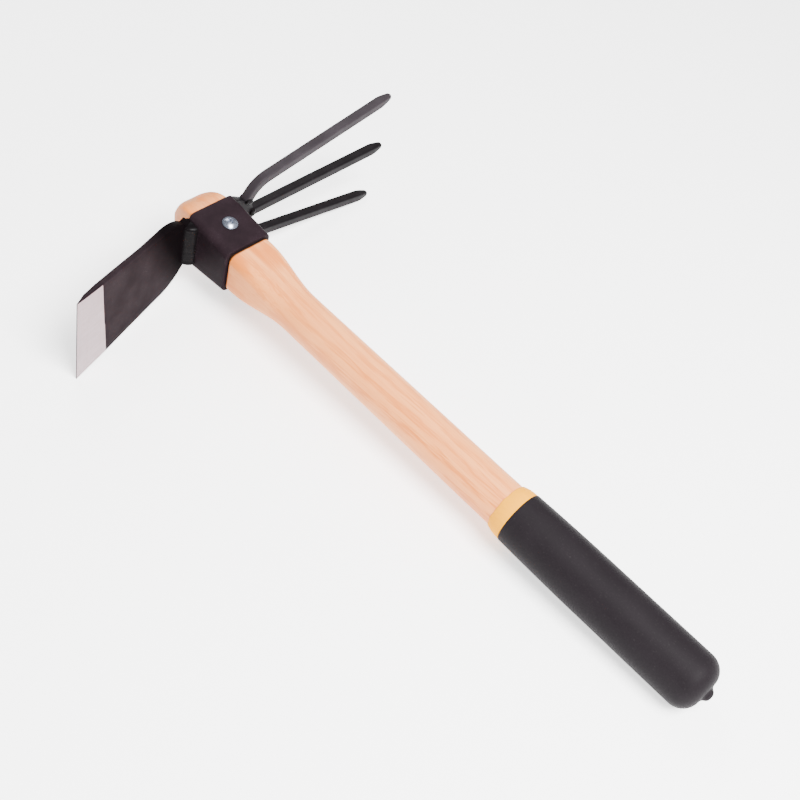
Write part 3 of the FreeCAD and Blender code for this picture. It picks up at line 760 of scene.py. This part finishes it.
def outer_path(sign):
    """Points of an outer tine's middle line, and its direction at each."""
    foot, bend, tip = (on_outer(place, sign) for place in (OUTER_FOOT, OUTER_BEND, OUTER_TIP))
    inward, outward = (foot - bend).normalized(), (tip - bend).normalized()
    angle = math.pi - inward.angle(outward)
    tangent = OUTER_RADIUS * math.tan(angle / 2)
    centre = bend + (inward + outward).normalized() * (OUTER_RADIUS / math.cos(angle / 2))
    arc_from, arc_to = bend + inward * tangent, bend + outward * tangent
    arc_steps = 12
    points = run(foot, arc_from, 1.0)[:-1]
    turns = [-inward] * len(points)
    spoke = arc_from - centre
    axis = spoke.cross(-inward).normalized()
    for k in range(arc_steps + 1):
        turned = Matrix.Rotation(angle * k / arc_steps, 3, axis)
        points.append(centre + turned @ spoke)
        turns.append(turned @ -inward)
    fine_from = tip - outward * FINE_LENGTH
    rest = run(arc_to, fine_from, 2.0)[1:] + run(fine_from, tip, FINE_STEP)[1:]
    points += rest
    turns += [outward] * len(rest)
    return points, turns


# The upper tine takes the lighter copy of the tine coat, painted light.
for sign, name, steel in ((1, "tine_upper", LIT_UPPER_TINE_STEEL), (-1, "tine_lower", TINE_STEEL)):
    piece(name + "_bar", tine_geometry(*outer_path(sign), 10.0 * sign), [steel], [name], 45.0)
middle_foot = Vector((SOCKET_W / 2 + PLATE_X, TINE_Y, 0.0))
middle_tip = Vector((MIDDLE_TIP_X, TINE_Y, 0.0))
fine_from = Vector((MIDDLE_TIP_X - FINE_LENGTH, TINE_Y, 0.0))
middle = run(middle_foot, fine_from, 2.0) + run(fine_from, middle_tip, FINE_STEP)[1:]
piece("tine_middle_bar", tine_geometry(middle, [Vector((1.0, 0.0, 0.0))] * len(middle), 31.0), [TINE_STEEL],
      ["tine_middle"], 45.0)


def plate_geometry():
    """The root plate with eased edges: the same outline lofted through its thickness."""
    foot, bend = on_outer(OUTER_FOOT, 1), on_outer(OUTER_BEND, 1)
    side = (bend - foot).normalized().cross(Vector((0.0, 1.0, 0.0))) * (BAR / 2)
    near, far = sorted((foot + side, foot - side), key=lambda p: p.x)
    half = [(SOCKET_W / 2, HALF), (near.x, near.z), (far.x, far.z), (SOCKET_W / 2 + PLATE_X, 4.0)]
    outline = half + [(x, -z) for x, z in reversed(half)]
    dense = []
    steps = 10
    for (x0, z0), (x1, z1) in zip(outline, outline[1:] + outline[:1]):
        for k in range(steps):
            dense.append((x0 + (x1 - x0) * k / steps, z0 + (z1 - z0) * k / steps))
    middle_x = sum(x for x, _ in dense) / len(dense)
    rings = []
    edge = ((PLATE_HALF, 0.35), (PLATE_HALF - 0.1, 0.12), (PLATE_HALF - 0.35, 0.0))
    for y, ease in [(-y, ease) for y, ease in edge] + [(0.0, 0.0)] + list(reversed(edge)):
        ring = []
        for x, z in dense:
            away = Vector((x - middle_x, z)).normalized() * ease
            ring.append((max(SOCKET_W / 2, x - away.x), TINE_Y + y, z - away.y))
        rings.append(ring)
    return loft(rings)


piece("root_plate", plate_geometry(), [TINE_STEEL], ["tine_root_plate"], 35.0)


def foot_lump(foot, along, face, seed):
    """Small hand-laid lump of weld across one face of a tine's foot."""
    side = along.cross(Vector((0.0, 1.0, 0.0))).normalized()
    out = Vector((0.0, 1.0, 0.0)) * face
    base = foot + out * (BAR / 2 - 0.25)
    rings = []
    rows, arc = 24, 12
    for i in range(rows + 1):
        u = -1.0 + 2.0 * i / rows
        size = math.sqrt(max(0.01, 1.0 - abs(u) ** 2.6))
        ring = []
        for k in range(arc + 1):
            a = math.pi * k / arc
            lump = 1.0 + 0.22 * wobble(u * 2.2 + seed, math.cos(a), math.sin(a), 0.8)
            ring.append(tuple(base + side * (u * (BAR / 2 + 0.35)) + along * (2.0 * size * math.cos(a) * lump)
                              + out * (1.15 * size * math.sin(a) * lump)))
        ring.append(tuple(base + side * (u * BAR / 2)))
        rings.append(ring)
    return loft(rings)


foot_way = (on_outer(OUTER_BEND, 1) - on_outer(OUTER_FOOT, 1)).normalized()
mirrored = Vector((foot_way.x, 0.0, -foot_way.z))
for name, foot, along, seed in (("upper", on_outer(OUTER_FOOT, 1), foot_way, 2.0),
                                ("middle", middle_foot, Vector((1.0, 0.0, 0.0)), 4.0),
                                ("lower", on_outer(OUTER_FOOT, -1), mirrored, 6.0)):
    lumps = merge(foot_lump(foot, along, 1, seed), foot_lump(foot, along, -1, seed + 20.0))
    piece("weld_foot_" + name, lumps, [WELD_STEEL], ["tine_weld_" + name], 60.0)


# ---------------------------------------------------------------- screw

def screw_geometry():
    """Domed head with a pressed cross recess, on the socket's sloping face, and its plain shank."""
    slope = math.atan2(SOCKET_D[1] - SOCKET_D[0], 4 * HALF)
    stand = Matrix.Translation((0.0, 0.0, socket_depth(0.0) / 2)) @ Matrix.Rotation(slope, 4, "X")
    ball = (HEAD_R ** 2 + HEAD_DOME ** 2) / (2 * HEAD_DOME)
    count, head_rings = 96, 40
    angles = [2 * math.pi * i / count + SCREW_TURN for i in range(count)]
    rings = []
    for k in range(1, head_rings + 1):
        r = HEAD_R * k / head_rings
        ring = []
        for t in angles:
            x, y = r * math.cos(t), r * math.sin(t)
            z = HEAD_RISE - ball + math.sqrt(ball ** 2 - r ** 2)
            arm = 2.4 - 0.25 * r
            for u, v in ((x, y), (y, x)):
                flank = min(1.0, max(0.0, (RECESS_HALF - abs(v)) / 0.22))
                wall = flank * min(1.0, max(0.0, (arm - abs(u)) / 0.35))
                z = min(z, HEAD_RISE - RECESS_DEEP * wall * (1.0 - 0.25 * r / HEAD_R))
            ring.append(tuple(stand @ Vector((x, y, z))))
        rings.append(ring)
    for r, z in ((HEAD_EDGE_R, 0.55), (HEAD_EDGE_R, 0.2)) + SCREW_SHANK:
        rings.append([tuple(stand @ Vector((r * math.cos(t), r * math.sin(t), z))) for t in angles])
    return loft(rings)


piece("screw_zinc", screw_geometry(), [ZINC], ["fixing_screw"], 55.0)


# ---------------------------------------------------------------- grip

def spun(profile, count, ripple):
    """A profile of (y, radius) turned about the handle, with small changes of both from ripple(angle, y)."""
    rings = []
    for y, r in profile:
        ring = []
        for i in range(count):
            t = 2 * math.pi * i / count
            dy, dr = ripple(t, y)
            ring.append(((r + dr) * math.cos(t), y + dy, (r + dr) * math.sin(t)))
        rings.append(ring)
    return loft(rings)


def collar_ripple(t, y):
    """Moulding facets round the collar and a slightly ragged lip on the wood."""
    lip = max(0.0, 1.0 - (COLLAR_Y - y) / 3.0) if y > COLLAR_Y - 3.0 else 0.0
    ragged = 0.35 * noise.noise(Vector((math.cos(t) * 3.0, math.sin(t) * 3.0, 1.0)))
    uneven = noise.noise(Vector((math.cos(t) * 5.0, math.sin(t) * 5.0, y * 0.2)))
    return ragged * lip, 0.035 * math.cos(28 * t) + 0.05 * uneven


collar_steps = 14
collar_profile = [(COLLAR_Y + 0.02 - 0.4, BORE), (COLLAR_Y - 0.05, 13.15), (COLLAR_Y - 0.02, 13.35),
                  (COLLAR_Y - 0.35, COLLAR_R)]
for k in range(1, collar_steps + 1):
    t = k / collar_steps
    collar_profile.append((COLLAR_Y - 0.35 - COLLAR_LENGTH * t, COLLAR_R + COLLAR_GROWTH * t
                           + COLLAR_SWELL * math.sin(math.pi * t)))
collar_profile += [(MOUTH_Y + 0.03, 14.9), (MOUTH_Y + 0.02, 13.2), (MOUTH_Y + 0.02, BORE)]
piece("collar_yellow", spun(collar_profile, 168, collar_ripple), [YELLOW],
      ["grip_collar"], 40.0)

round_steps, swell_steps, straight_steps, corner_steps = 6, 28, 30, 14
swell_start, swell_r = MOUTH_Y - MOUTH_ROUND, MOUTH_R + MOUTH_ROUND
grip_profile = [(-235.0, BORE), (MOUTH_Y, 13.1), (MOUTH_Y, 14.5)]
for k in range(1, round_steps + 1):
    sine, cosine = quarter(k, round_steps)
    grip_profile.append((swell_start + MOUTH_ROUND * cosine, MOUTH_R + MOUTH_ROUND * sine))
for k in range(1, swell_steps + 1):
    t = k / swell_steps
    grip_profile.append((swell_start + (SWELL_END_Y - swell_start) * t, swell_r + (GRIP_R - swell_r) * t
                         + 0.8 * t * (1 - t)))
for k in range(1, straight_steps + 1):
    grip_profile.append((SWELL_END_Y - GRIP_STRAIGHT * k / straight_steps, GRIP_R))
for k in range(1, corner_steps + 1):
    sine, cosine = quarter(k, corner_steps)
    grip_profile.append((SWELL_END_Y - GRIP_STRAIGHT - GRIP_CORNER * sine, GRIP_R - GRIP_CORNER
                         + GRIP_CORNER * cosine))
grip_profile += NUB


def grip_ripple(t, y):
    """Slow unevenness of the rubber, but none on the nub."""
    slack = noise.noise(Vector((math.cos(t) * 1.2, math.sin(t) * 1.2, y * 0.03)))
    return 0.0, 0.05 * slack if y > -352.0 else 0.0


piece("grip_rubber", spun(grip_profile, 160, grip_ripple), [BLACK], ["grip_sleeve"], 40.0)


# ---------------------------------------------------------------- floor, light, camera

WORLD_LIGHT = 0.55
FLOOR_GLOW = 1.5
FLOOR_SPAN = 12
low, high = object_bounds()
reach = max(high[i] - low[i] for i in range(3))
middle_point = Vector([(low[i] + high[i]) / 2 for i in range(3)])

floor_mesh = bpy.data.meshes.new("floor")
span = FLOOR_SPAN * reach
corners = [(-span, -span, low[2]), (span, -span, low[2]), (span, span, low[2]), (-span, span, low[2])]
floor_mesh.from_pydata(corners, [], [(0, 1, 2, 3)])
floor = bpy.data.objects.new("floor", floor_mesh)
bpy.context.scene.collection.objects.link(floor)
paper = Nodes("floor_white")
paper.shader.inputs["Emission Color"].default_value = (1.0, 1.0, 1.0, 1.0)
paper.shader.inputs["Emission Strength"].default_value = FLOOR_GLOW
floor_mesh.materials.append(paper.finish((0.95, 0.95, 0.95), 0.9, specular=0.1))

world = bpy.data.worlds.new("studio")
world.use_nodes = True
world.node_tree.nodes["Background"].inputs[0].default_value = (1.0, 1.0, 1.0, 1.0)
world.node_tree.nodes["Background"].inputs[1].default_value = WORLD_LIGHT
bpy.context.scene.world = world


def softbox(name, way, distance, size, power):
    """Area light that looks at the object from a direction in the tool's frame."""
    data = bpy.data.lights.new(name, "AREA")
    data.shape = "SQUARE"
    data.size = size
    data.energy = power
    lamp = bpy.data.objects.new(name, data)
    direction = (turn @ Vector(way)).normalized()
    lamp.location = middle_point + direction * distance
    lamp.rotation_euler = direction.to_track_quat("Z", "Y").to_euler()
    bpy.context.scene.collection.objects.link(lamp)


softbox("key", (-0.12, -0.50, 1.0), 1.2, 0.62, 76.0)
softbox("rim", (0.5, 1.0, 0.9), 1.4, 0.8, 12.0)

# The camera stands over the blade's side of the handle and is rolled, as the tool is laid across the picture
CAMERA_TURN = -1.03812
CAMERA_HEIGHT = 0.875467
CAMERA_ROLL = 0.325551
CAMERA_DISTANCE = 667.86
CAMERA_TARGET = (3.336, -139.241, 0.0)
CAMERA_LENS = 56.19
CAMERA_SENSOR = 36.0
level = math.cos(CAMERA_HEIGHT)
back = Vector((math.sin(CAMERA_TURN) * level, -math.cos(CAMERA_TURN) * level, math.sin(CAMERA_HEIGHT)))
flat_right = Vector((math.cos(CAMERA_TURN), math.sin(CAMERA_TURN), 0.0))
flat_up = back.cross(flat_right)
right = flat_right * math.cos(CAMERA_ROLL) + flat_up * math.sin(CAMERA_ROLL)
upright = back.cross(right)
camera_data = bpy.data.cameras.new("camera")
camera_data.sensor_width = CAMERA_SENSOR
camera_data.sensor_fit = "HORIZONTAL"
camera_data.lens = CAMERA_LENS
camera_data.clip_start = 0.01
camera = bpy.data.objects.new("camera", camera_data)
axes = Matrix((turn @ right, turn @ upright, turn @ back)).transposed().to_4x4()
spot = PLACE @ ((Vector(CAMERA_TARGET) + back * CAMERA_DISTANCE) * MM)
camera.matrix_world = Matrix.Translation(spot) @ axes
bpy.context.scene.collection.objects.link(camera)
bpy.context.scene.camera = camera
